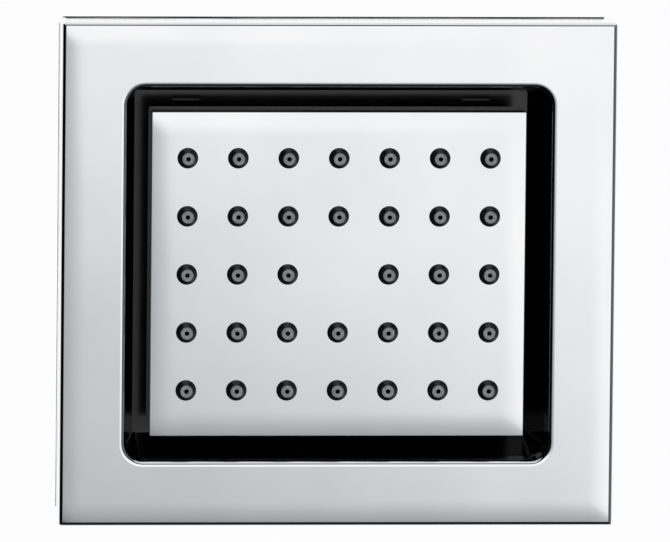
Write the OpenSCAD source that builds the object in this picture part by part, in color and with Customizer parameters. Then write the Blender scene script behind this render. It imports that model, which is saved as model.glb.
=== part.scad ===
// Flush rain shower head: a nozzle plate on a ball joint stands free in the opening of a rectangular trim.
// Lengths are in millimetres. The pieces are drawn in a bench frame, with x to the right, y up and z out of
// the wall, whose finished surface is z = 0. placed() then turns them upright, facing -Y, with +Z up.

/* [Nozzle field] */
// Columns of nozzles
nozzle_cols = 7; // [5:2:9]
// Rows of nozzles
nozzle_rows = 5; // [5:2:7]
// Spacing of the columns
nozzle_pitch_x = 10.9; // [9.5:0.1:14]
// Spacing of the rows
nozzle_pitch_y = 12.6; // [10.5:0.1:16]
// Radius of a nozzle's hole in the plate
nozzle_hole_r = 2.25; // [2:0.05:2.6]
// Play between a nozzle and its hole
nozzle_play = 0.05; // [0.02:0.01:0.1]
// Height of a nib above the plate
nib_h = 2.1; // [0.8:0.1:2.5]
// Radius of a nib's flat tip
nib_tip_r = 1.4; // [1.1:0.05:1.7]
// Radius of a jet's bore
jet_r = 0.5; // [0.3:0.05:0.8]
// Radius of a jet's inlet funnel
funnel_r = 1.5; // [1.1:0.05:1.8]

/* [Spray plate] */
// From the outer nozzles to the plate's left and right sides
plate_margin_x = 7.8; // [7.6:0.1:12]
// From the outer nozzles to the plate's top and bottom sides
plate_margin_y = 10; // [9.6:0.1:15]
// Thickness of the plate's face
plate_t = 2; // [1.5:0.1:3]
// Thickness of the plate's skirt
plate_skirt_t = 1.8; // [1.2:0.1:2.2]
// How far the plate's face lies behind the trim's
plate_recess = 1; // [0:0.1:2]
// Radius of the plate's upright corners
plate_corner_r = 0.6; // [0.3:0.1:1.5]
// Radius of the plate's front edge
plate_edge_r = 0.35; // [0.2:0.05:0.8]
// Width over which the plate's polished face rolls off
plate_crown_w = 4.5; // [2:0.1:5]
// Radius of the plate's roll-off
plate_crown_r = 45; // [20:1:90]
// Radius of a screw boss inside the plate
boss_r = 2; // [1.8:0.1:2.2]
// From the skirt's inside to the outer screw bosses
boss_inset = 4; // [2.5:0.1:6]

/* [Spray chamber] */
// Thickness of the nozzle mat
mat_t = 1.4; // [1:0.1:2]
// Thickness of the backing plate
backing_t = 2; // [1.5:0.1:3]
// Radius of the backing plate's holes
backing_hole_r = 1.7; // [1.6:0.05:2]
// Height of the chamber's rim
rim_h = 2; // [1.5:0.1:4]
// Width of the chamber's rim
rim_t = 2.2; // [1.6:0.1:2.4]
// From the outer funnels to the rim's inside
rim_clear = 0.2; // [0.1:0.05:0.4]
// Thickness of the flat gasket on the rim
chamber_gasket_t = 1; // [0.8:0.1:1.5]
// Thickness of the chamber's back
back_t = 2.5; // [2:0.1:3.5]
// Play between the skirt and what lies inside it
skirt_play = 0.3; // [0.1:0.05:0.5]
// Thickness of the ribs on the chamber's back
back_rib_t = 1.6; // [1.2:0.1:2.5]
// Height of the ribs beside the socket
back_rib_h = 4; // [2:0.1:5]
// Reach of the ribs beyond the socket
back_rib_reach = 15; // [8:0.5:17]

/* [Ball joint] */
// Radius of the ball
ball_r = 8; // [7:0.1:9]
// Radius of the water way through the ball
ball_bore_r = 3; // [2:0.1:3.2]
// Radius of the neck behind the ball
neck_r = 4.5; // [4.2:0.1:4.8]
// Running gap at the ball and round the liner
ball_play = 0.05; // [0.02:0.01:0.1]
// Thickness of the friction liner
liner_t = 1.45; // [1:0.05:2]
// Angle that the liner reaches in front of the ball's middle
liner_front_deg = 18; // [10:1:20]
// Angle that the liner reaches behind the ball's middle
liner_back_deg = 38; // [30:1:40]
// Slit that lets the liner open over the ball
liner_slit = 1.2; // [0.8:0.1:3]
// Thickness of the socket's wall
socket_t = 3; // [2.5:0.1:4]
// Thickness of the collar nut's wall
collar_t = 3; // [2.5:0.1:4]
// How far the collar nut reaches behind the ball's middle
collar_back = 6.3; // [6:0.1:7]
// Play in the collar nut's thread
collar_play = 0.05; // [0.02:0.01:0.1]
// Finger notches round the collar nut
collar_notches = 8; // [6:1:12]
// Width of the seal in front of the ball
seal_w = 2.6; // [2:0.1:3]
// Depth of the seal's pocket
seal_h = 2.8; // [2.4:0.1:3]
// Most that the plate tilts or turns each way
tilt_max = 8; // [4:0.5:9]
// Room left round the head at the end of its travel
swing_clear = 1.5; // [1:0.1:4]

/* [Trim] */
// Clear gap round the plate
plate_gap = 5.2; // [4.8:0.1:8]
// Width of the trim's border
border_w = 14.3; // [14:0.1:22]
// Height of the trim's face above the wall
trim_face = 12; // [9:0.1:14]
// Thickness of the trim's face
trim_t = 2.4; // [1.6:0.1:3]
// Thickness of the trim's skirt
trim_skirt_t = 2.2; // [1.6:0.1:2.4]
// Radius of the trim's upright corners
trim_corner_r = 1.2; // [0.6:0.1:3]
// Radius of the trim's front edge
trim_edge_r = 1.1; // [0.4:0.1:1.5]
// Width over which the trim's polished face rolls off
trim_crown_w = 5.5; // [2:0.1:7]
// Radius of the trim's roll-off
trim_crown_r = 45; // [20:1:90]
// Radius of the opening's corners
opening_r = 3.7; // [3:0.1:8]
// Radius of the opening's rounded lip
lip_r = 1.3; // [0.6:0.1:1.6]
// Thickness of the lip's wall
lip_t = 2; // [1.8:0.1:2.4]
// Thickness of the ribs behind the border
trim_rib_t = 1.6; // [1.2:0.1:2.4]
// Height of the ribs behind the border
trim_rib_h = 2.4; // [1:0.1:2.6]
// Radius of the posts that hold the trim
post_r = 1.6; // [1.2:0.1:1.8]

/* [Recess housing] */
// Step from the trim's opening out to the housing's mouth
mouth_step = 0.4; // [0.2:0.1:1]
// Gap between the trim's lip and the housing's flange
lip_gap = 0.3; // [0.1:0.1:0.6]
// Thickness of the housing's walls
housing_t = 2.5; // [2:0.1:3]
// Slope of the housing's walls
housing_draft = 12; // [6:0.5:13]
// Radius of the corners at the recess floor
floor_corner_r = 0.6; // [0.4:0.1:2]
// Thickness of the recess floor
floor_t = 3; // [2:0.1:4]
// Thickness of the housing's flange
flange_t = 2.5; // [2:0.1:3]
// Radius of the flange's corners
flange_corner_r = 2; // [1:0.1:4]
// Play between the flange and the trim's skirt
flange_play = 0.4; // [0.2:0.1:0.8]
// Thickness of the foam gasket on the wall
wall_gasket_t = 1.5; // [1:0.1:3]
// From the trim's sides in to the fixings
fixing_inset = 6.6; // [6.4:0.1:6.8]
// Thickness of a snap bush's wall
bush_t = 0.9; // [0.7:0.1:1.2]
// Thickness of the turret round a snap bush
turret_t = 1.1; // [0.8:0.1:1.3]
// Height of the turret above the flange
turret_h = 2.2; // [1.5:0.1:2.6]
// Play round a post and its bush
bush_play = 0.03; // [0.01:0.01:0.08]
// Outer radius of a wall screw's thread
wall_screw_r = 1.95; // [1.9:0.05:2.1]
// Radius of a wall screw's smooth shank
wall_shank_r = 1.7; // [1.4:0.05:1.75]
// Length of a wall screw
wall_screw_len = 30; // [20:1:45]
// From the housing's middle out to the slots in its floor
floor_slot_x = 31.5; // [24:0.5:33]
// Length of a slot in the recess floor
floor_slot_len = 6; // [3:0.1:10]
// Width of a slot in the recess floor
floor_slot_w = 1.2; // [0.8:0.1:2]
// Depth of a slot in the recess floor
floor_slot_d = 1.6; // [0.8:0.1:2.2]
// Thickness of the gussets round the well
gusset_t = 2; // [1.5:0.1:3]
// Reach of the gussets beyond the well
gusset_reach = 15; // [8:0.5:16]

/* [Inlet] */
// Outer radius of the inlet's half-inch pipe thread
thread_r = 10.48; // [9.5:0.02:11]
// Length of the pipe thread
thread_len = 14; // [13:0.5:20]
// Outer radius of the stud's body thread, which takes the lock nut
body_thread_r = 12; // [11.6:0.1:12.6]
// How far the body thread stands out of the lock nut
body_thread_out = 1.5; // [0.5:0.1:3]
// Radius of the strainer's seat in the inlet
inlet_bore_r = 7.5; // [7:0.1:8]
// Depth of the strainer's seat
inlet_bore_len = 14; // [12:0.5:18]
// Width across the stud's hexagon
stud_hex = 24; // [23:0.5:26]
// Height of the stud's hexagon
stud_hex_h = 3.5; // [2.5:0.1:6]
// Radius of the stud's flange
stud_flange_r = 16.5; // [15.5:0.1:17]
// Thickness of the stud's flange
stud_flange_t = 1.5; // [1.2:0.1:3]
// Thickness of the rubber washer in the well
rubber_washer_t = 1.5; // [1:0.1:2.5]
// Thickness of the washer under the lock nut
nut_washer_t = 1; // [0.8:0.1:2]
// Width across the lock nut's flats
nut_hex = 30; // [28:0.5:34]
// Height of the lock nut
nut_h = 5.5; // [4:0.1:8]
// Play in the inlet's thread and seats
thread_play = 0.05; // [0.02:0.01:0.1]
// Height of the flow regulator
regulator_h = 5; // [4:0.1:5.5]
// Radius of the regulator ring's cord
regulator_ring_r = 0.9; // [0.7:0.05:1]
// Openings round the flow regulator
regulator_ways = 8; // [4:1:12]
// Thickness of the strainer's rim
strainer_rim_t = 1.4; // [1:0.1:2]
// Thickness of the strainer's basket
strainer_wall = 0.8; // [0.6:0.1:1.2]
// Slots round the strainer's basket
strainer_slots = 8; // [4:1:10]

/* [Hidden] */
$fn = 72;

// Overshoot of a cut past the face it opens
over = 1;
// Overlap of two shapes that belong to one piece
lap = 0.3;
// How far a rounding stands past the face that it runs into, so that the two cross cleanly
crease = 0.002;
// Facets of a full circle at the roll-offs
crown_fn = 720;

// Nozzle field and spray plate
grid_w = (nozzle_cols - 1) * nozzle_pitch_x;
grid_h = (nozzle_rows - 1) * nozzle_pitch_y;
plate_w = grid_w + 2 * plate_margin_x;
plate_h = grid_h + 2 * plate_margin_y;
inside_w = plate_w - 2 * plate_skirt_t;
inside_h = plate_h - 2 * plate_skirt_t;
nozzle_places = [
    for (c = [0 : nozzle_cols - 1], r = [0 : nozzle_rows - 1])
        if (2 * c != nozzle_cols - 1 || 2 * r != nozzle_rows - 1)
            [c * nozzle_pitch_x - grid_w / 2, r * nozzle_pitch_y - grid_h / 2]
];

// Heights of the spray head's layers, from the plate's face back to the ball
plate_z = trim_face - plate_recess;
mat_z = plate_z - plate_t;
backing_z = mat_z - mat_t;
gasket_z = backing_z - backing_t;
rim_z = gasket_z - chamber_gasket_t;
back_z = rim_z - rim_h;
socket_z = back_z - back_t;
ball_z = socket_z - ball_r;

// Screws that close the spray chamber
chamber_screw_r = 1.1;
chamber_screw_head_r = 2;
chamber_screw_head_h = 1.3;
chamber_screw_tip = 1;
chamber_screw_play = 0.03;
boss_end_gap = 0.1;
boss_x = inside_w / 2 - boss_inset;
boss_y = inside_h / 2 - boss_r + lap;
boss_places = [for (x = [-1, -1 / 3, 1 / 3, 1], y = [-1, 1]) [x * boss_x, y * boss_y]];
notch_r = boss_r + skirt_play;

// Chamber rim, gasket and mat
rim_in_w = grid_w + 2 * (funnel_r + rim_clear);
rim_in_h = grid_h + 2 * (funnel_r + rim_clear);
rim_r = 2;
mat_edge_play = 0.2;
mat_w = rim_in_w + 2 * rim_t;
mat_h = min(rim_in_h + 2 * rim_t, 2 * (boss_y - boss_r - mat_edge_play));
nozzle_r = nozzle_hole_r - nozzle_play;
funnel_h = 1.6;
nib_base_h = 0.25;
nib_round = 0.2;

// Ball joint
liner_in_r = ball_r + ball_play;
liner_out_r = liner_in_r + liner_t;
seat_r = liner_out_r + ball_play;
socket_r = seat_r + socket_t;
collar_in_r = socket_r + collar_play;
collar_r = collar_in_r + collar_t;
collar_front_gap = 1;
collar_seat_gap = 0.3;
collar_notch_r = 2;
collar_notch_depth = 1;
seal_out_r = sqrt(pow(seat_r, 2) - pow(ball_r - seal_h, 2)) - lap / 2;
seal_in_r = seal_out_r - seal_w;
seal_play = 0.02;
socket_way_r = seal_in_r + seal_w / 4;
swing = acos(pow(cos(tilt_max), 2));

// Trim
opening_w = plate_w + 2 * plate_gap;
opening_h = plate_h + 2 * plate_gap;
trim_w = opening_w + 2 * border_w;
trim_h = opening_h + 2 * border_w;
trim_inside_r = 1;
trim_under_z = trim_face - trim_t;
flange_top_z = wall_gasket_t + flange_t;
lip_end_z = flange_top_z + lip_gap;
rib_places_x = [for (s = [-1, 1], k = [0.24, 0.36]) s * k * trim_w];
rib_places_y = [for (s = [-1, 1], k = [0.22, 0.34]) s * k * trim_h];

// Fixings under the border
fixing_x = trim_w / 2 - fixing_inset;
fixing_y = trim_h / 2 - fixing_inset;
screw_places = [for (x = [-1, 1], y = [-1, 1]) [x * fixing_x, y * fixing_y]];
post_places = [[fixing_x, 0], [0, fixing_y], [-fixing_x, 0], [0, -fixing_y]];
bush_in_r = post_r + bush_play;
bush_out_r = bush_in_r + bush_t;
turret_hole_r = bush_out_r + bush_play;
turret_top_z = flange_top_z + turret_h;
bush_collar_t = 0.5;
bush_collar_w = 0.7;
bush_end_gap = 0.3;
bush_slit = 0.7;
post_end_gap = 0.6;
post_tip = 0.5;
wall_screw_head_r = 3.4;
wall_screw_head_h = 1.9;
wall_screw_tip = 4;
wall_screw_play = 0.4;
wall_head_play = 0.05;
wall_thread_start = 0.5;

// Recess housing
mouth_w = opening_w + 2 * mouth_step;
mouth_h = opening_h + 2 * mouth_step;
head_drop = (plate_w / 2) * sin(tilt_max) * cos(tilt_max) + (plate_h / 2) * sin(tilt_max)
    - ball_r * pow(cos(tilt_max), 2);
floor_z = ball_z - head_drop - swing_clear;
floor_inset = (flange_top_z - floor_z) * tan(housing_draft);
mouth_r = floor_corner_r + floor_inset;
outer_inset = (flange_top_z - floor_z + floor_t) * tan(housing_draft);
flange_w = trim_w - 2 * (trim_skirt_t + flange_play);
flange_h = trim_h - 2 * (trim_skirt_t + flange_play);
stud_side_gap = 1;
well_r = max(collar_r + collar_back * sin(swing) + swing_clear, stud_flange_r + stud_side_gap);
collar_drop = collar_back * cos(swing) + collar_r * sin(swing);
hex_z = ball_z - collar_drop - swing_clear;
stud_flange_z = hex_z - stud_hex_h;
washer_z = stud_flange_z - stud_flange_t;
well_z = washer_z - rubber_washer_t;
well_back_z = well_z - floor_t;
floor_slot_edge = 1;
gusset_low = 0.75;

// Inlet
nut_washer_z = well_back_z - nut_washer_t;
nut_z = nut_washer_z - nut_h;
body_end_z = nut_z - body_thread_out;
tail_z = body_end_z - thread_len;
thread_chamfer = 1;
thread_hole_r = body_thread_r + thread_play;
nut_washer_r = 16;
nut_chamfer = 0.8;
bore_end_z = tail_z + inlet_bore_len;
insert_r = inlet_bore_r - thread_play;
regulator_way_r = 0.7;
regulator_circle_r = 4.4;
regulator_groove_w = 0.2;
regulator_dish = 1.2;
strainer_gap = 0.5;
strainer_top_r = 5.2;
strainer_foot_r = 6.3;
strainer_slot_w = 1.2;
strainer_inset = 0.4;
strainer_z = tail_z + strainer_inset;
strainer_end_z = bore_end_z - regulator_h - strainer_gap;

// Colours
chrome = "gainsboro";
black_plastic = "#1c1c1e";
black_silicone = "#2a2a2c";
rubber = "#303234";
foam = "#5b5e62";
ivory = "#e6e1d2";
brass = "#c9a45a";
nickel = "#b9b4a6";
steel = "#a9adb2";
green_plastic = "#5f9a72";

// From the bench frame to the part's own: z out of the wall becomes -Y, y becomes +Z
module placed() {
    rotate([90, 0, 0]) children();
}

// Rounded rectangle about the origin
module outline(w, h, r) {
    square([w, h - 2 * r], center = true);
    square([w - 2 * r, h], center = true);
    for (x = [-1, 1], y = [-1, 1])
        translate([x * (w / 2 - r), y * (h / 2 - r)]) circle(r);
}

// Plate of a rounded outline between two heights
module slab(w, h, r, low, high) {
    translate([0, 0, low]) linear_extrude(high - low) outline(w, h, r);
}

// Section carried round a rounded rectangle: its x = 0 follows the outline and points outwards, its y is z
module carried_round(w, h, r) {
    for (q = [0 : 3]) {
        across = q % 2 == 0 ? w : h;
        along = (q % 2 == 0 ? h : w) - 2 * r;
        rotate([0, 0, 90 * q]) {
            translate([across / 2, 0, 0]) rotate([90, 0, 0])
                linear_extrude(along, center = true) children();
            translate([across / 2 - r, along / 2, 0])
                rotate_extrude(angle = 90) translate([r, 0]) children();
        }
    }
}

// What polishing takes off one edge of a face: x = 0 is the side, y = 0 the flat of the face
module polished_edge(crown_w, crown_r, edge_r) {
    edge_x = crease - edge_r;
    edge_y = crease - crown_r + sqrt(pow(crown_r - edge_r, 2) - pow(crown_w + edge_x, 2));
    meet_x = -crown_w + (crown_w + edge_x) * crown_r / (crown_r - edge_r);
    difference() {
        translate([-crown_w, edge_y]) square([crown_w + over, over - edge_y]);
        intersection() {
            translate([-crown_w, crease - crown_r]) circle(crown_r, $fn = crown_fn);
            translate([-crown_w - over, edge_y - over]) square([crown_w + over + meet_x, 2 * over - edge_y]);
        }
        translate([edge_x, edge_y]) circle(edge_r);
    }
}

// Block whose face rolls off towards all four sides
module crowned_block(w, h, r, low, high, crown_w, crown_r, edge_r) {
    difference() {
        slab(w, h, r, low, high);
        for (q = [0 : 3]) {
            across = q % 2 == 0 ? w : h;
            along = q % 2 == 0 ? h : w;
            rotate([0, 0, 90 * q]) translate([across / 2, 0, high]) rotate([90, 0, 0])
                linear_extrude(along + 2 * over, center = true) polished_edge(crown_w, crown_r, edge_r);
        }
    }
}

// Upright cylinder between two heights
module rod(r, low, high) {
    translate([0, 0, low]) cylinder(r = r, h = high - low);
}

// Hexagon bar between two heights, measured across its flats
module hex_bar(flats, low, high) {
    translate([0, 0, low]) cylinder(r = flats / 2 / cos(30), h = high - low, $fn = 6);
}

// Half-plane to the right of the axis, which keeps one side of a turned section
module right_half() {
    intersection() {
        children();
        translate([0, tail_z - over]) square([trim_w, trim_face - tail_z + 2 * over]);
    }
}

// Cross recess in a screw head whose top is at z = 0
module cross_recess(r, depth) {
    slot = 0.45 * r;
    for (a = [0, 90])
        rotate([0, 0, a]) translate([-0.62 * r, -slot / 2, -depth]) cube([1.24 * r, slot, depth + over]);
}

// Rolled lip of the trim's opening, with the wall that runs back to the housing
module lip_section() {
    difference() {
        translate([0, lip_end_z]) square([lip_t, trim_face - lip_end_z]);
        difference() {
            translate([-over, trim_face - lip_r]) square([lip_r + over, lip_r + over]);
            translate([lip_r, trim_face - lip_r]) circle(lip_r);
        }
    }
}

module trim_ribs() {
    reach = border_w - lip_t - trim_skirt_t + 2 * lap;
    rib_low = trim_under_z - trim_rib_h;
    for (s = [-1, 1]) {
        for (x = rib_places_x)
            translate([x - trim_rib_t / 2, s * (opening_h / 2 + lip_t - lap + reach / 2) - reach / 2, rib_low])
                cube([trim_rib_t, reach, trim_rib_h + lap]);
        for (y = rib_places_y)
            translate([s * (opening_w / 2 + lip_t - lap + reach / 2) - reach / 2, y - trim_rib_t / 2, rib_low])
                cube([reach, trim_rib_t, trim_rib_h + lap]);
    }
}

// Post behind the border, with a lead-in tip
module trim_post() {
    low = wall_gasket_t + post_end_gap;
    translate([0, 0, low]) cylinder(r1 = post_r - post_tip, r2 = post_r, h = post_tip);
    rod(post_r, low + post_tip, trim_under_z + lap);
}

// Chrome-plated casting: border, skirt, rolled lip, ribs and snap posts
module trim_frame() {
    hole = 2 * (lip_t - lap);
    color(chrome) placed() union() {
        difference() {
            crowned_block(trim_w, trim_h, trim_corner_r, 0, trim_face, trim_crown_w, trim_crown_r, trim_edge_r);
            slab(trim_w - 2 * trim_skirt_t, trim_h - 2 * trim_skirt_t, trim_inside_r, -over, trim_under_z);
            slab(opening_w + hole, opening_h + hole, opening_r + hole / 2, 0, trim_face + over);
        }
        carried_round(opening_w, opening_h, opening_r) lip_section();
        trim_ribs();
        for (p = post_places) translate([p[0], p[1], 0]) trim_post();
    }
}

// Slit plastic bushes that grip the trim's posts
module snap_bushes() {
    collar_r = bush_out_r + bush_collar_w;
    color(ivory) placed() for (p = post_places) translate([p[0], p[1], 0]) difference() {
        union() {
            rod(bush_out_r, wall_gasket_t + bush_end_gap, turret_top_z + lap / 2);
            rod(collar_r, turret_top_z, turret_top_z + bush_collar_t);
        }
        rod(bush_in_r, 0, trim_face);
        translate([-collar_r, -bush_slit / 2, 0]) cube([2 * collar_r, bush_slit, turret_top_z - bush_collar_t]);
    }
}

// Foam ring between the housing's flange and the wall
module wall_gasket() {
    hole_w = mouth_w + 2 * housing_t;
    hole_h = mouth_h + 2 * housing_t;
    color(foam) placed() difference() {
        slab(flange_w, flange_h, flange_corner_r, 0, wall_gasket_t);
        slab(hole_w, hole_h, mouth_r + housing_t, -over, wall_gasket_t + over);
        for (p = screw_places)
            translate([p[0], p[1], 0]) rod(wall_shank_r + wall_screw_play, -over, wall_gasket_t + over);
    }
}

// Sloping wall of the housing, down to the corner of its floor
module housing_wall() {
    bottom = floor_z - floor_t;
    polygon([
        [0, flange_top_z], [-floor_inset, floor_z], [-floor_inset, bottom],
        [housing_t - outer_inset, bottom], [housing_t, flange_top_z]
    ]);
}

// Gusset that stiffens the floor beside the well
module gusset() {
    top = floor_z - floor_t + lap;
    foot = well_r + floor_t / 2;
    end = well_r + floor_t + gusset_reach;
    low = top + gusset_low * (well_back_z - top);
    rotate([90, 0, 0]) linear_extrude(gusset_t, center = true)
        polygon([[foot, top], [end, top], [end, top - 2 * lap - gusset_t], [foot + gusset_t, low], [foot, low]]);
}

// Black moulded cup with a flange, a round well for the joint, gussets and snap turrets
module recess_housing() {
    floor_w = mouth_w - 2 * floor_inset + 2 * lap;
    floor_h = mouth_h - 2 * floor_inset + 2 * lap;
    slot_y = floor_h / 2 - lap - floor_slot_edge - floor_slot_w / 2;
    color(black_plastic) placed() difference() {
        union() {
            carried_round(mouth_w, mouth_h, mouth_r) housing_wall();
            slab(floor_w, floor_h, floor_corner_r + lap, floor_z - floor_t, floor_z);
            difference() {
                slab(flange_w, flange_h, flange_corner_r, wall_gasket_t, flange_top_z);
                slab(mouth_w + housing_t, mouth_h + housing_t, mouth_r + housing_t / 2, 0, trim_face);
            }
            rod(well_r + floor_t, well_back_z, floor_z - floor_t / 2);
            for (a = [0 : 45 : 315]) rotate([0, 0, a]) gusset();
            for (p = post_places) translate([p[0], p[1], 0]) rod(turret_hole_r + turret_t, wall_gasket_t, turret_top_z);
        }
        rod(well_r, well_z, floor_z + over);
        rod(thread_hole_r, well_back_z - over, well_z + over);
        for (p = post_places) translate([p[0], p[1], 0]) rod(turret_hole_r, 0, trim_face);
        for (p = screw_places) translate([p[0], p[1], 0]) {
            rod(wall_shank_r + wall_screw_play, 0, flange_top_z + over);
            translate([0, 0, flange_top_z - wall_screw_head_h]) cylinder(
                r1 = wall_shank_r + wall_head_play, r2 = wall_screw_head_r + wall_head_play,
                h = wall_screw_head_h);
            rod(wall_screw_head_r + wall_head_play, flange_top_z, flange_top_z + over);
        }
        for (s = [-1, 1])
            translate([s * floor_slot_x - floor_slot_len / 2, slot_y - floor_slot_w / 2, floor_z - floor_slot_d])
                cube([floor_slot_len, floor_slot_w, floor_slot_d + over]);
    }
}

// Countersunk screw: flush head, smooth shank through the flange and thread in the wall
module wall_screw() {
    head_low = flange_top_z - wall_screw_head_h;
    point_z = flange_top_z - wall_screw_len;
    rotate_extrude() polygon([
        [0, point_z], [wall_screw_r, point_z + wall_screw_tip], [wall_screw_r, -wall_thread_start],
        [wall_shank_r, -wall_thread_start], [wall_shank_r, head_low], [wall_screw_head_r, flange_top_z],
        [0, flange_top_z]
    ]);
}

module wall_screws() {
    color(steel) placed() for (p = screw_places) translate([p[0], p[1], 0]) difference() {
        wall_screw();
        translate([0, 0, flange_top_z]) cross_recess(wall_screw_head_r, wall_screw_head_h * 0.7);
    }
}

// Turned brass stud: ball, neck, hexagon, flange and threaded inlet, bored through for the water
module ball_stud() {
    color(brass) placed() difference() {
        union() {
            rotate_extrude() right_half() {
                translate([0, ball_z]) circle(ball_r);
                translate([0, hex_z - lap]) square([neck_r, ball_z - hex_z]);
                translate([0, washer_z]) square([stud_flange_r, stud_flange_t]);
                polygon([
                    [0, tail_z], [thread_r - thread_chamfer, tail_z], [thread_r, tail_z + thread_chamfer],
                    [thread_r, body_end_z], [body_thread_r - thread_chamfer / 2, body_end_z],
                    [body_thread_r, body_end_z + thread_chamfer / 2], [body_thread_r, washer_z + lap],
                    [0, washer_z + lap]
                ]);
            }
            hex_bar(stud_hex, stud_flange_z - lap, hex_z);
        }
        rod(ball_bore_r, tail_z - over, ball_z + ball_r + over);
        rod(inlet_bore_r, tail_z - over, bore_end_z);
    }
}

// Flat ring between two heights
module flat_ring(out_r, in_r, low, high) {
    difference() {
        rod(out_r, low, high);
        rod(in_r, low - over, high + over);
    }
}

module well_washer() {
    color(rubber) placed() flat_ring(stud_flange_r, thread_hole_r, well_z, washer_z);
}

module nut_washer() {
    color(steel) placed() flat_ring(nut_washer_r, thread_hole_r, nut_washer_z, well_back_z);
}

// Hexagon nut with both faces chamfered
module lock_nut() {
    corner_r = nut_hex / 2 / cos(30);
    flat_r = nut_hex / 2;
    color(brass) placed() difference() {
        intersection() {
            hex_bar(nut_hex, nut_z, nut_washer_z);
            rotate_extrude() polygon([
                [0, nut_z], [flat_r, nut_z], [corner_r, nut_z + nut_chamfer],
                [corner_r, nut_washer_z - nut_chamfer], [flat_r, nut_washer_z], [0, nut_washer_z]
            ]);
        }
        rod(thread_hole_r, nut_z - over, nut_washer_z + over);
    }
}

// Regulator body: a groove for its rubber ring over a circle of water ways
module flow_regulator() {
    low = bore_end_z - regulator_h;
    groove_r = regulator_ring_r + regulator_groove_w;
    color(green_plastic) placed() difference() {
        rod(insert_r, low, bore_end_z);
        flat_ring(regulator_circle_r + groove_r, regulator_circle_r - groove_r, low - over,
            low + 2 * regulator_ring_r);
        for (k = [0 : regulator_ways - 1])
            rotate([0, 0, k * 360 / regulator_ways]) translate([regulator_circle_r, 0, 0])
                rod(regulator_way_r, low - over, bore_end_z + over);
        rod(regulator_circle_r + regulator_way_r + lap, bore_end_z - regulator_dish, bore_end_z + over);
    }
}

module regulator_ring() {
    color(rubber) placed() rotate_extrude()
        translate([regulator_circle_r, bore_end_z - regulator_h + regulator_ring_r]) circle(regulator_ring_r);
}

// Moulded strainer: a rim and a slotted basket that points into the flow
module inlet_strainer() {
    rim_top = strainer_z + strainer_rim_t;
    color(ivory) placed() difference() {
        rotate_extrude() difference() {
            polygon([
                [0, strainer_z], [insert_r, strainer_z], [insert_r, rim_top], [strainer_foot_r, rim_top],
                [strainer_top_r, strainer_end_z], [0, strainer_end_z]
            ]);
            polygon([
                [0, strainer_z - over], [strainer_foot_r - strainer_wall, strainer_z - over],
                [strainer_foot_r - strainer_wall, rim_top],
                [strainer_top_r - strainer_wall, strainer_end_z - strainer_wall],
                [0, strainer_end_z - strainer_wall]
            ]);
        }
        for (k = [0 : strainer_slots - 1])
            rotate([0, 0, k * 360 / strainer_slots])
                translate([0, -strainer_slot_w / 2, rim_top + strainer_wall])
                    cube([insert_r, strainer_slot_w, strainer_end_z - rim_top - 2 * strainer_wall - lap]);
    }
}

// Split shell of acetal that grips the ball inside the socket
module friction_liner() {
    far = 2 * liner_out_r;
    color(ivory) placed() translate([0, 0, ball_z]) difference() {
        rotate_extrude() intersection() {
            difference() {
                circle(liner_out_r);
                circle(liner_in_r);
            }
            polygon([
                [0, 0], [far * cos(liner_back_deg), -far * sin(liner_back_deg)],
                [far, 0], [far * cos(liner_front_deg), far * sin(liner_front_deg)]
            ]);
        }
        translate([-liner_slit / 2, 0, -far]) cube([liner_slit, far, 2 * far]);
    }
}

// Chrome-plated face with its skirt, nozzle holes and screw bosses
module spray_plate() {
    pilot_r = chamber_screw_r + chamber_screw_play;
    boss_low = back_z + boss_end_gap;
    color(chrome) placed() difference() {
        union() {
            difference() {
                crowned_block(plate_w, plate_h, plate_corner_r, socket_z, plate_z,
                    plate_crown_w, plate_crown_r, plate_edge_r);
                slab(inside_w, inside_h, plate_corner_r, socket_z - over, mat_z);
            }
            for (p = boss_places) translate([p[0], p[1], 0]) rod(boss_r, boss_low, mat_z + lap);
        }
        for (p = nozzle_places) translate([p[0], p[1], 0]) rod(nozzle_hole_r, mat_z - over, plate_z + over);
        for (p = boss_places) translate([p[0], p[1], 0]) rod(pilot_r, boss_low - over, mat_z);
    }
}

// Outside of one nozzle: a collar through the plate and a tapered nib
module nozzle_body() {
    tip_z = plate_z + nib_h;
    polygon([
        [0, backing_z + lap], [nozzle_r, backing_z + lap], [nozzle_r, plate_z + nib_base_h],
        [nib_tip_r, tip_z - nib_round], [nib_tip_r - nib_round, tip_z], [0, tip_z]
    ]);
}

// Water way of one nozzle: a funnel that narrows to the jet
module nozzle_way() {
    polygon([
        [0, backing_z - over], [funnel_r, backing_z - over], [funnel_r, backing_z + lap],
        [jet_r, backing_z + funnel_h], [jet_r, plate_z + nib_h + over], [0, plate_z + nib_h + over]
    ]);
}

// Silicone mat moulded in one piece with its nozzles
module nozzle_mat() {
    color(black_silicone) placed() difference() {
        union() {
            slab(mat_w, mat_h, rim_r, backing_z, mat_z);
            for (p = nozzle_places) translate([p[0], p[1], 0]) rotate_extrude() nozzle_body();
        }
        for (p = nozzle_places) translate([p[0], p[1], 0]) rotate_extrude() nozzle_way();
    }
}

// Perforated plate that holds the mat flat against the face
module backing_plate() {
    color(ivory) placed() difference() {
        slab(inside_w - 2 * skirt_play, inside_h - 2 * skirt_play, plate_corner_r, gasket_z, backing_z);
        for (p = nozzle_places) translate([p[0], p[1], 0]) rod(backing_hole_r, gasket_z - over, backing_z + over);
        for (p = boss_places) translate([p[0], p[1], 0]) rod(notch_r, gasket_z - over, backing_z + over);
    }
}

module chamber_gasket() {
    color(rubber) placed() difference() {
        slab(rim_in_w + 2 * rim_t, rim_in_h + 2 * rim_t, rim_r + rim_t, rim_z, gasket_z);
        slab(rim_in_w, rim_in_h, rim_r, rim_z - over, gasket_z + over);
    }
}

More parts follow.
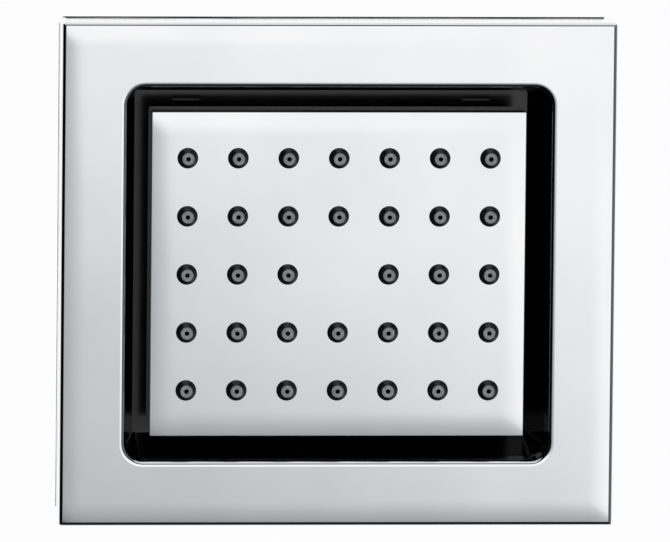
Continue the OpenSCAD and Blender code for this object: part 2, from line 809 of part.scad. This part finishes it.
// Rib on the chamber's back, from the socket outwards
module back_rib() {
    rotate([90, 0, 0]) linear_extrude(back_rib_t, center = true) polygon([
        [socket_r - lap, socket_z + lap], [socket_r + back_rib_reach, socket_z + lap],
        [socket_r + back_rib_reach, socket_z - lap], [socket_r + back_rib_h / 2, socket_z - back_rib_h],
        [socket_r - lap, socket_z - back_rib_h]
    ]);
}

// Back of the spray chamber, with its rim, the socket for the ball and stiffening ribs
module chamber_back() {
    socket_end = ball_z + collar_seat_gap;
    color(black_plastic) placed() difference() {
        union() {
            slab(inside_w - 2 * skirt_play, inside_h - 2 * skirt_play, plate_corner_r, socket_z, back_z);
            difference() {
                slab(rim_in_w + 2 * rim_t, rim_in_h + 2 * rim_t, rim_r + rim_t, back_z - lap, rim_z);
                slab(rim_in_w, rim_in_h, rim_r, back_z - lap - over, rim_z + over);
            }
            rod(socket_r, socket_end, socket_z + lap);
            for (a = [0 : 45 : 315]) rotate([0, 0, a]) back_rib();
        }
        translate([0, 0, ball_z]) sphere(seat_r);
        rod(seat_r, ball_z - over, ball_z);
        rod(seal_out_r, ball_z, socket_z);
        rod(socket_way_r, ball_z, back_z + over);
        for (p = boss_places)
            translate([p[0], p[1], 0]) rod(chamber_screw_r + 5 * chamber_screw_play, socket_z - over, back_z + over);
    }
}

module chamber_screws() {
    tip_z = mat_z - chamber_screw_tip;
    color(steel) placed() for (p = boss_places) translate([p[0], p[1], 0]) difference() {
        rotate_extrude() polygon([
            [0, socket_z - chamber_screw_head_h], [chamber_screw_head_r - nib_round, socket_z - chamber_screw_head_h],
            [chamber_screw_head_r, socket_z - chamber_screw_head_h + nib_round], [chamber_screw_head_r, socket_z],
            [chamber_screw_r, socket_z], [chamber_screw_r, tip_z - chamber_screw_tip], [0, tip_z]
        ]);
        translate([0, 0, socket_z - chamber_screw_head_h]) mirror([0, 0, 1])
            cross_recess(chamber_screw_head_r, chamber_screw_head_h * 0.6);
    }
}

// Rubber seat in front of the ball, hollowed to the ball's radius
module ball_seal() {
    color(rubber) placed() difference() {
        flat_ring(seal_out_r - seal_play, seal_in_r, socket_z - seal_h, socket_z);
        translate([0, 0, ball_z]) sphere(ball_r + ball_play);
    }
}

// Threaded collar that clamps the liner and the ball in the socket
module collar_nut() {
    front = socket_z - back_rib_h - collar_front_gap;
    rear = ball_z - collar_back;
    color(nickel) placed() difference() {
        rotate_extrude() difference() {
            polygon([
                [0, rear], [collar_r - collar_notch_depth, rear], [collar_r, rear + collar_notch_depth],
                [collar_r, front], [0, front]
            ]);
            translate([0, ball_z]) square([collar_in_r, front - ball_z + over]);
            translate([0, ball_z]) circle(seat_r);
        }
        for (k = [0 : collar_notches - 1])
            rotate([0, 0, (k + 0.5) * 360 / collar_notches])
                translate([collar_r - collar_notch_depth + collar_notch_r, 0, 0])
                    rod(collar_notch_r, rear - over, front + over);
    }
}

trim_frame();
snap_bushes();
wall_gasket();
recess_housing();
wall_screws();
ball_stud();
well_washer();
nut_washer();
lock_nut();
flow_regulator();
regulator_ring();
inlet_strainer();
friction_liner();
spray_plate();
nozzle_mat();
backing_plate();
chamber_gasket();
chamber_back();
chamber_screws();
ball_seal();
collar_nut();
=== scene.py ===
import math

import bmesh
import bpy
from mathutils import Matrix, Vector


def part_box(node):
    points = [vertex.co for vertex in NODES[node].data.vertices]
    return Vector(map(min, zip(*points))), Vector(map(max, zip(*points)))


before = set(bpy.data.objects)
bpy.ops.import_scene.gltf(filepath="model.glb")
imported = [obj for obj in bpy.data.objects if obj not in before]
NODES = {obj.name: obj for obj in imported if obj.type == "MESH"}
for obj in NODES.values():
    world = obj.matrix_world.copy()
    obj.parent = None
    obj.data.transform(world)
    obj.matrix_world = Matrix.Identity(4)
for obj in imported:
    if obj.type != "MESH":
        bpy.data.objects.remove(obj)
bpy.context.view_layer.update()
MM = 0.001


# Colours and node graphs

def colour(code):
    """sRGB hex code, as seen on the real finish, to Blender's linear RGBA."""
    parts = [int(code[i:i + 2], 16) / 255 for i in (1, 3, 5)]
    linear = [p / 12.92 if p <= 0.04045 else ((p + 0.055) / 1.055) ** 2.4 for p in parts]
    return (*linear, 1.0)


def put(tree, kind, values=(), links=(), **settings):
    """Adds a node to the tree, sets its properties and input values, and links its inputs."""
    node = tree.nodes.new(kind)
    for name, value in settings.items():
        setattr(node, name, value)
    for socket, value in dict(values).items():
        node.inputs[socket].default_value = value
    for socket, source in dict(links).items():
        tree.links.new(source, node.inputs[socket])
    return node


def finish_of(name, **values):
    """New material: its tree, its Principled shader with these values, and the object's own places in mm."""
    material = bpy.data.materials.new(name)
    material.use_nodes = True
    tree = material.node_tree
    shader = tree.nodes["Principled BSDF"]
    for socket, value in values.items():
        shader.inputs[socket.replace("_", " ")].default_value = value
    place = put(tree, "ShaderNodeTexCoord")
    in_mm = put(tree, "ShaderNodeMapping", {"Scale": (1000, 1000, 1000)},
                {"Vector": place.outputs["Object"]})
    return material, tree, shader, in_mm.outputs["Vector"]


def ramp(tree, source, stops):
    """Colour ramp over the source, with (position, hex code) stops."""
    node = put(tree, "ShaderNodeValToRGB", links={"Fac": source})
    band = node.color_ramp
    while len(band.elements) < len(stops):
        band.elements.new(0.5)
    for element, (at, code) in zip(band.elements, stops):
        element.position = at
        element.color = colour(code)
    return node.outputs["Color"]


# Materials

def buffed_normal(tree, place, low, high, soft_drop):
    """Normal of a face whose edges buffing has rolled off, blended round the corners where the solid is mitred."""
    soft_w, face_depth = 6.0, 0.24
    parts = put(tree, "ShaderNodeSeparateXYZ", links={"Vector": place})
    slopes, shares = {}, []
    for axis, half in (("X", high.x), ("Z", high.z)):
        off = put(tree, "ShaderNodeMath", links={0: parts.outputs[axis]}, operation="ABSOLUTE")
        share = put(tree, "ShaderNodeMapRange", {"From Min": half - soft_w, "From Max": half},
                    {"Value": off.outputs["Value"]})
        squared = put(tree, "ShaderNodeMath", {1: 2.0}, {0: share.outputs["Result"]}, operation="POWER")
        side = put(tree, "ShaderNodeMath", links={0: parts.outputs[axis]}, operation="SIGN")
        signed = put(tree, "ShaderNodeMath", links={0: squared.outputs["Value"], 1: side.outputs["Value"]},
                     operation="MULTIPLY")
        slope = put(tree, "ShaderNodeMath", {1: 3 * soft_drop / soft_w}, {0: signed.outputs["Value"]},
                    operation="MULTIPLY")
        slopes[axis] = slope.outputs["Value"]
        shares.append(share.outputs["Result"])
    lean = put(tree, "ShaderNodeCombineXYZ", {"Y": -1.0}, slopes)
    turned = put(tree, "ShaderNodeVectorTransform", links={"Vector": lean.outputs["Vector"]},
                 vector_type="NORMAL", convert_from="OBJECT", convert_to="WORLD")
    # Only the rolled-off border of the face, and not the sides or the opening's lip
    border = put(tree, "ShaderNodeMath", links={0: shares[0], 1: shares[1]}, operation="MAXIMUM")
    on_border = put(tree, "ShaderNodeMath", {1: 0.0},
                    {0: border.outputs["Value"]}, operation="GREATER_THAN")
    on_face = put(tree, "ShaderNodeMath", {1: low.y + face_depth},
                  {0: parts.outputs["Y"]}, operation="LESS_THAN")
    both = put(tree, "ShaderNodeMath", links={0: on_border.outputs["Value"], 1: on_face.outputs["Value"]},
               operation="MULTIPLY")
    own = put(tree, "ShaderNodeNewGeometry")
    mixed = put(tree, "ShaderNodeMixRGB", links={
        "Fac": both.outputs["Value"], "Color1": own.outputs["Normal"], "Color2": turned.outputs["Vector"]})
    return put(tree, "ShaderNodeVectorMath", links={0: mixed.outputs["Color"]},
               operation="NORMALIZE").outputs["Vector"]


def bright_chrome(node, soft_drop):
    """Chrome plate over polished metal: mirror bright, its edges rolled off by the buffing wheel."""
    material, tree, shader, place = finish_of(f"bright_chrome_{node}", Metallic=1.0)
    # Buffed zones differ a little in lustre, over about 25 mm
    zones = put(tree, "ShaderNodeTexNoise", {"Scale": 0.04, "Detail": 2.0, "Roughness": 0.5},
                {"Vector": place})
    tree.links.new(ramp(tree, zones.outputs["Fac"], [(0.35, "#f0f1f3"), (0.65, "#f6f6f7")]),
                   shader.inputs["Base Color"])
    lustre = put(tree, "ShaderNodeMapRange", {"From Min": 0.3, "From Max": 0.7, "To Min": 0.035, "To Max": 0.07},
                 {"Value": zones.outputs["Fac"]})
    tree.links.new(lustre.outputs["Result"], shader.inputs["Roughness"])
    low, high = (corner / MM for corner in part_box(node))
    normal = buffed_normal(tree, place, low, high, soft_drop)
    # The metal under the plate is never quite flat: waves 18 mm long, a few thousandths high
    waves = put(tree, "ShaderNodeTexNoise", {"Scale": 0.055, "Detail": 1.0}, {"Vector": place})
    bump = put(tree, "ShaderNodeBump", {"Strength": 0.25, "Distance": 0.00006},
               {"Height": waves.outputs["Fac"], "Normal": normal})
    tree.links.new(bump.outputs["Normal"], shader.inputs["Normal"])
    return material


def gloss_black_abs():
    """ABS moulded in a polished tool: deep black, with clear reflections over faint flow marks."""
    material, tree, shader, place = finish_of("gloss_black_abs", IOR=1.54)
    flow = put(tree, "ShaderNodeTexNoise", {"Scale": 0.08, "Detail": 3.0}, {"Vector": place})
    tree.links.new(ramp(tree, flow.outputs["Fac"], [(0.3, "#08080a"), (0.7, "#0d0d0f")]),
                   shader.inputs["Base Color"])
    gloss = put(tree, "ShaderNodeMapRange", {"To Min": 0.1, "To Max": 0.2}, {"Value": flow.outputs["Fac"]})
    tree.links.new(gloss.outputs["Result"], shader.inputs["Roughness"])
    skin = put(tree, "ShaderNodeTexNoise", {"Scale": 0.35, "Detail": 2.0}, {"Vector": place})
    bump = put(tree, "ShaderNodeBump", {"Strength": 0.2, "Distance": 0.00005},
               {"Height": skin.outputs["Fac"]})
    tree.links.new(bump.outputs["Normal"], shader.inputs["Normal"])
    return material


def spark_black_abs():
    """ABS moulded in a spark-eroded tool: black with a fine even grain that breaks the shine."""
    material, tree, shader, place = finish_of("spark_black_abs", IOR=1.54)
    grain = put(tree, "ShaderNodeTexNoise", {"Scale": 2.5, "Detail": 3.0}, {"Vector": place})
    tree.links.new(ramp(tree, grain.outputs["Fac"], [(0.3, "#101112"), (0.7, "#1a1b1c")]),
                   shader.inputs["Base Color"])
    shine = put(tree, "ShaderNodeMapRange", {"To Min": 0.38, "To Max": 0.52},
                {"Value": grain.outputs["Fac"]})
    tree.links.new(shine.outputs["Result"], shader.inputs["Roughness"])
    bump = put(tree, "ShaderNodeBump", {"Strength": 0.5, "Distance": 0.00003},
               {"Height": grain.outputs["Fac"]})
    tree.links.new(bump.outputs["Normal"], shader.inputs["Normal"])
    return material


def moulded_silicone():
    """Black silicone rubber, glossy on the nibs' sides; the flat tips are painted light grey, a painted highlight
    for the front light that they catch.
    """
    material, tree, shader, place = finish_of("moulded_silicone", IOR=1.41)
    mottle = put(tree, "ShaderNodeTexNoise", {"Scale": 0.9, "Detail": 4.0}, {"Vector": place})
    black = ramp(tree, mottle.outputs["Fac"], [(0.3, "#101113"), (0.7, "#1a1b1d")])
    # Light grey on the flat tips is a painted highlight: the brightness of the lit tips put into the rubber's
    # colour
    grey = ramp(tree, mottle.outputs["Fac"], [(0.3, "#8e9194"), (0.7, "#b4b6b8")])
    parts = put(tree, "ShaderNodeSeparateXYZ", links={"Vector": place})
    tip_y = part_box("nozzle_mat")[0].y / MM
    tip = put(tree, "ShaderNodeMapRange", {"From Min": tip_y + 0.18, "From Max": tip_y + 0.04},
              {"Value": parts.outputs["Y"]})
    tone = put(tree, "ShaderNodeMixRGB",
               links={"Fac": tip.outputs["Result"], "Color1": black, "Color2": grey})
    tree.links.new(tone.outputs["Color"], shader.inputs["Base Color"])
    shine = put(tree, "ShaderNodeMapRange", {"To Min": 0.26, "To Max": 0.5},
                {"Value": tip.outputs["Result"]})
    tree.links.new(shine.outputs["Result"], shader.inputs["Roughness"])
    bump = put(tree, "ShaderNodeBump", {"Strength": 0.3, "Distance": 0.00004},
               {"Height": mottle.outputs["Fac"]})
    tree.links.new(bump.outputs["Normal"], shader.inputs["Normal"])
    return material


def black_rubber():
    """Nitrile rubber, moulded: dull black, with a dusty grey where it was dusted with talc."""
    material, tree, shader, place = finish_of("black_rubber", IOR=1.5)
    dust = put(tree, "ShaderNodeTexNoise", {"Scale": 0.5, "Detail": 5.0}, {"Vector": place})
    tree.links.new(ramp(tree, dust.outputs["Fac"], [(0.35, "#17181a"), (0.75, "#2a2b2d")]),
                   shader.inputs["Base Color"])
    shine = put(tree, "ShaderNodeMapRange", {"To Min": 0.55, "To Max": 0.75},
                {"Value": dust.outputs["Fac"]})
    tree.links.new(shine.outputs["Result"], shader.inputs["Roughness"])
    bump = put(tree, "ShaderNodeBump", {"Strength": 0.4, "Distance": 0.00004},
               {"Height": dust.outputs["Fac"]})
    tree.links.new(bump.outputs["Normal"], shader.inputs["Normal"])
    return material


def closed_cell_foam():
    """Foam rubber cut from sheet: dark grey, open cells of about 0.5 mm on its cut faces."""
    material, tree, shader, place = finish_of("closed_cell_foam", Roughness=0.85, IOR=1.5)
    cells = put(tree, "ShaderNodeTexVoronoi", {"Scale": 1.8}, {"Vector": place})
    # Darker towards each cell's middle, where the bump sinks: painted shade in the cells' hollows
    tree.links.new(ramp(tree, cells.outputs["Distance"], [(0.1, "#1d1f21"), (0.6, "#3a3d40")]),
                   shader.inputs["Base Color"])
    bump = put(tree, "ShaderNodeBump", {"Strength": 0.8, "Distance": 0.00012},
               {"Height": cells.outputs["Distance"]})
    tree.links.new(bump.outputs["Normal"], shader.inputs["Normal"])
    return material


def turned_metal(name, low, high, rough_low, rough_high):
    """Metal turned on a lathe: fine rings about the inlet's axis, 0.4 mm apart so that they show."""
    material, tree, shader, place = finish_of(name, Metallic=1.0)
    rings = put(tree, "ShaderNodeTexWave", {"Scale": 0.35, "Distortion": 0.4, "Detail": 2.0, "Detail Scale": 3.0},
                {"Vector": place}, wave_type="RINGS", rings_direction="Y")
    stain = put(tree, "ShaderNodeTexNoise", {"Scale": 0.12, "Detail": 4.0}, {"Vector": place})
    tree.links.new(ramp(tree, stain.outputs["Fac"], [(0.3, low), (0.7, high)]), shader.inputs["Base Color"])
    shine = put(tree, "ShaderNodeMapRange", {"To Min": rough_low, "To Max": rough_high},
                {"Value": stain.outputs["Fac"]})
    tree.links.new(shine.outputs["Result"], shader.inputs["Roughness"])
    bump = put(tree, "ShaderNodeBump", {"Strength": 0.25, "Distance": 0.00003},
               {"Height": rings.outputs["Fac"]})
    tree.links.new(bump.outputs["Normal"], shader.inputs["Normal"])
    return material


def stainless_steel():
    """Stainless steel, rolled and tumbled: greyish, a little blurred, with a fine scatter of scratches."""
    material, tree, shader, place = finish_of("stainless_steel", Metallic=1.0)
    scuff = put(tree, "ShaderNodeTexNoise", {"Scale": 1.6, "Detail": 5.0, "Roughness": 0.7},
                {"Vector": place})
    tree.links.new(ramp(tree, scuff.outputs["Fac"], [(0.3, "#b4b5b4"), (0.7, "#cfd0cf")]),
                   shader.inputs["Base Color"])
    shine = put(tree, "ShaderNodeMapRange", {"To Min": 0.22, "To Max": 0.4},
                {"Value": scuff.outputs["Fac"]})
    tree.links.new(shine.outputs["Result"], shader.inputs["Roughness"])
    bump = put(tree, "ShaderNodeBump", {"Strength": 0.2, "Distance": 0.00002},
               {"Height": scuff.outputs["Fac"]})
    tree.links.new(bump.outputs["Normal"], shader.inputs["Normal"])
    return material


def moulded_acetal(name, low, high):
    """Acetal moulded in a plain tool: waxy, a little translucent, with soft flow marks."""
    material, tree, shader, place = finish_of(name, IOR=1.48, Subsurface_Weight=0.15, Subsurface_Scale=0.002)
    flow = put(tree, "ShaderNodeTexNoise", {"Scale": 0.3, "Detail": 3.0, "Distortion": 0.6},
               {"Vector": place})
    tree.links.new(ramp(tree, flow.outputs["Fac"], [(0.3, low), (0.7, high)]), shader.inputs["Base Color"])
    shine = put(tree, "ShaderNodeMapRange", {"To Min": 0.3, "To Max": 0.42}, {"Value": flow.outputs["Fac"]})
    tree.links.new(shine.outputs["Result"], shader.inputs["Roughness"])
    bump = put(tree, "ShaderNodeBump", {"Strength": 0.25, "Distance": 0.00004},
               {"Height": flow.outputs["Fac"]})
    tree.links.new(bump.outputs["Normal"], shader.inputs["Normal"])
    return material


brass = turned_metal("turned_brass", "#c39a4e", "#d9b468", 0.2, 0.34)
nickel = turned_metal("nickelled_brass", "#b6b0a2", "#cbc6b9", 0.14, 0.26)
steel = stainless_steel()
ivory = moulded_acetal("ivory_acetal", "#dcd6c6", "#e8e3d6")
green = moulded_acetal("green_acetal", "#5c9a70", "#6dab80")
rubber = black_rubber()

FINISHES = {
    "trim_frame": bright_chrome("trim_frame", 0.42),
    "spray_plate": bright_chrome("spray_plate", 0.3),
    "recess_housing": gloss_black_abs(), "chamber_back": spark_black_abs(),
    "nozzle_mat": moulded_silicone(), "wall_gasket": closed_cell_foam(),
    "ball_stud": brass, "lock_nut": brass, "collar_nut": nickel,
    "wall_screws": steel, "chamber_screws": steel, "nut_washer": steel,
    "snap_bushes": ivory, "friction_liner": ivory, "backing_plate": ivory, "inlet_strainer": ivory,
    "flow_regulator": green,
    "well_washer": rubber, "regulator_ring": rubber, "chamber_gasket": rubber, "ball_seal": rubber,
}
for name, piece in NODES.items():
    for slot in piece.material_slots:
        slot.material = FINISHES[name]


# Studio

trim_low, trim_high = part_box("trim_frame")
face_centre = Vector((0, trim_low.y, 0))


def camera():
    """Long lens, a little above and to the left, with the frame that the photograph has."""
    distance, azimuth, elevation, roll = 3.2, math.radians(4.7), math.radians(7.0), math.radians(0.58)
    frame_width = 670 * 0.2155 * MM
    data = bpy.data.cameras.new("camera")
    data.sensor_width = 36
    data.lens = data.sensor_width * distance / frame_width
    data.clip_end = 20
    piece = bpy.data.objects.new("camera", data)
    bpy.context.scene.collection.objects.link(piece)
    back = Vector((-math.sin(azimuth) * math.cos(elevation), -math.cos(azimuth) * math.cos(elevation),
                   math.sin(elevation)))
    turn = (-back).to_track_quat("-Z", "Y").to_matrix() @ Matrix.Rotation(roll, 3, "Z")
    # The trim's face sits 3.5 pixels right of and 4 pixels below the middle of the frame
    middle = face_centre + turn @ Vector((-3.5, 4.0, 0)) * 0.2155 * MM
    piece.location = middle + back * distance
    piece.rotation_euler = turn.to_euler()
    bpy.context.scene.camera = piece


def board(name, half_w, half_h, turned, at):
    """Board of the studio, turned about X from lying flat and set at a place."""
    mesh = bpy.data.meshes.new(name)
    shape = bmesh.new()
    bmesh.ops.create_grid(shape, x_segments=1, y_segments=1, size=1)
    bmesh.ops.scale(shape, vec=(half_w, half_h, 1), verts=shape.verts)
    bmesh.ops.rotate(shape, matrix=Matrix.Rotation(turned, 3, "X"), verts=shape.verts)
    bmesh.ops.translate(shape, vec=at, verts=shape.verts)
    shape.to_mesh(mesh)
    shape.free()
    piece = bpy.data.objects.new(name, mesh)
    bpy.context.scene.collection.objects.link(piece)
    return piece


def light_cloth(strength, stops):
    """Lit cloth, brightest above and on the right; each stop is metres along the line on which it fades."""
    material = bpy.data.materials.new("light_cloth")
    material.use_nodes = True
    tree = material.node_tree
    tree.nodes.remove(tree.nodes["Principled BSDF"])
    place = put(tree, "ShaderNodeTexCoord")
    along = put(tree, "ShaderNodeVectorMath", {1: (0.6, 0, 1)}, {0: place.outputs["Object"]},
                operation="DOT_PRODUCT")
    low, high = stops[0][0], stops[-1][0]
    share = put(tree, "ShaderNodeMapRange", {"From Min": low, "From Max": high},
                {"Value": along.outputs["Value"]})
    fade = ramp(tree, share.outputs["Result"], [((at - low) / (high - low), code) for at, code in stops])
    glow = put(tree, "ShaderNodeEmission", {"Strength": strength}, {"Color": fade})
    tree.links.new(glow.outputs["Emission"], tree.nodes["Material Output"].inputs["Surface"])
    return material


def studio():
    scene = bpy.context.scene
    scene.view_settings.view_transform = "Standard"
    world = bpy.data.worlds.new("studio")
    scene.world = world
    world.use_nodes = True
    tree = world.node_tree
    rays = put(tree, "ShaderNodeLightPath")
    direction = put(tree, "ShaderNodeTexCoord")
    parts = put(tree, "ShaderNodeSeparateXYZ", links={"Vector": direction.outputs["Generated"]})
    # White wall behind the object and a lit ceiling; the rest of the room is dark, greyer on the right
    side = put(tree, "ShaderNodeMapRange", {"From Min": -0.5, "From Max": 1.0},
               {"Value": parts.outputs["X"]})
    room = ramp(tree, side.outputs["Result"], [(0.2, "#060606"), (0.6, "#303132"), (1.0, "#6a6c6e")])
    height = put(tree, "ShaderNodeMapRange", {"From Min": 0.74, "From Max": 0.88},
                 {"Value": parts.outputs["Z"]})
    lofty = put(tree, "ShaderNodeMixRGB", {"Color2": colour("#e8eaec")},
                {"Fac": height.outputs["Result"], "Color1": room})
    depth = put(tree, "ShaderNodeMapRange", {"From Min": 0.1, "From Max": 0.4},
                {"Value": parts.outputs["Y"]})
    around = put(tree, "ShaderNodeMixRGB", {"Color2": (1, 1, 1, 1)},
                 {"Fac": depth.outputs["Result"], "Color1": lofty.outputs["Color"]})
    mix = put(tree, "ShaderNodeMixRGB", {"Color2": (1, 1, 1, 1)},
              {"Fac": rays.outputs["Is Camera Ray"], "Color1": around.outputs["Color"]})
    tree.links.new(mix.outputs["Color"], tree.nodes["Background"].inputs["Color"])

    upright = math.radians(90)
    card = board("light_card", 0.62, 0.62, upright, (0, -0.9, 0))
    card.data.materials.append(light_cloth(1.06, [
        (-0.75, "#0c0d0e"), (-0.62, "#5a5c5e"), (-0.56, "#8a8c8e"), (-0.34, "#a8aaac"), (-0.23, "#b4b6b8"),
        (-0.168, "#c1c2c4"), (-0.129, "#cacbcd"), (-0.1, "#d7d8da"), (-0.066, "#e6e7e8"), (-0.03, "#eeeff0"),
        (0.0, "#f4f5f5"), (0.04, "#f9f9f9"), (0.9, "#f9f9f9")]))
    card.visible_camera = False

    # Black flags behind the trim draw the dark lines along its top and left sides
    flag_y = 20 * MM
    for name, half_w, half_h, at in (
            ("top_flag", trim_high.x, 0.9 * MM, (0, flag_y, trim_high.z + 1.7 * MM)),
            ("left_flag", 0.4 * MM, trim_high.z, (trim_low.x - 1.0 * MM, flag_y, 0))):
        flag = board(name, half_w, half_h, upright, at)
        cloth, tree, shader, place = finish_of(name, Roughness=0.9)
        nap = put(tree, "ShaderNodeTexNoise", {"Scale": 1.0}, {"Vector": place})
        tree.links.new(ramp(tree, nap.outputs["Fac"], [(0.0, "#040404"), (1.0, "#0a0a0a")]),
                       shader.inputs["Base Color"])
        flag.data.materials.append(cloth)
        flag.visible_camera = False
        flag.visible_shadow = False

    floor = board("floor", 2.5, 2.5, 0.0, (0, 0, -0.2))
    material, tree, shader, place = finish_of("pale_paper", Roughness=0.9)
    fibre = put(tree, "ShaderNodeTexNoise", {"Scale": 0.5, "Detail": 3.0}, {"Vector": place})
    tree.links.new(ramp(tree, fibre.outputs["Fac"], [(0.0, "#eeeeee"), (1.0, "#f4f4f4")]),
                   shader.inputs["Base Color"])
    glow = put(tree, "ShaderNodeEmission", {"Color": (1, 1, 1, 1), "Strength": 1.0})
    rays = put(tree, "ShaderNodeLightPath")
    part = put(tree, "ShaderNodeMath", {1: 0.96}, {0: rays.outputs["Is Camera Ray"]}, operation="MULTIPLY")
    mixed = put(tree, "ShaderNodeMixShader",
                links={0: part.outputs["Value"], 1: shader.outputs["BSDF"], 2: glow.outputs["Emission"]})
    tree.links.new(mixed.outputs["Shader"], tree.nodes["Material Output"].inputs["Surface"])
    floor.data.materials.append(material)
    floor.visible_glossy = False


camera()
studio()
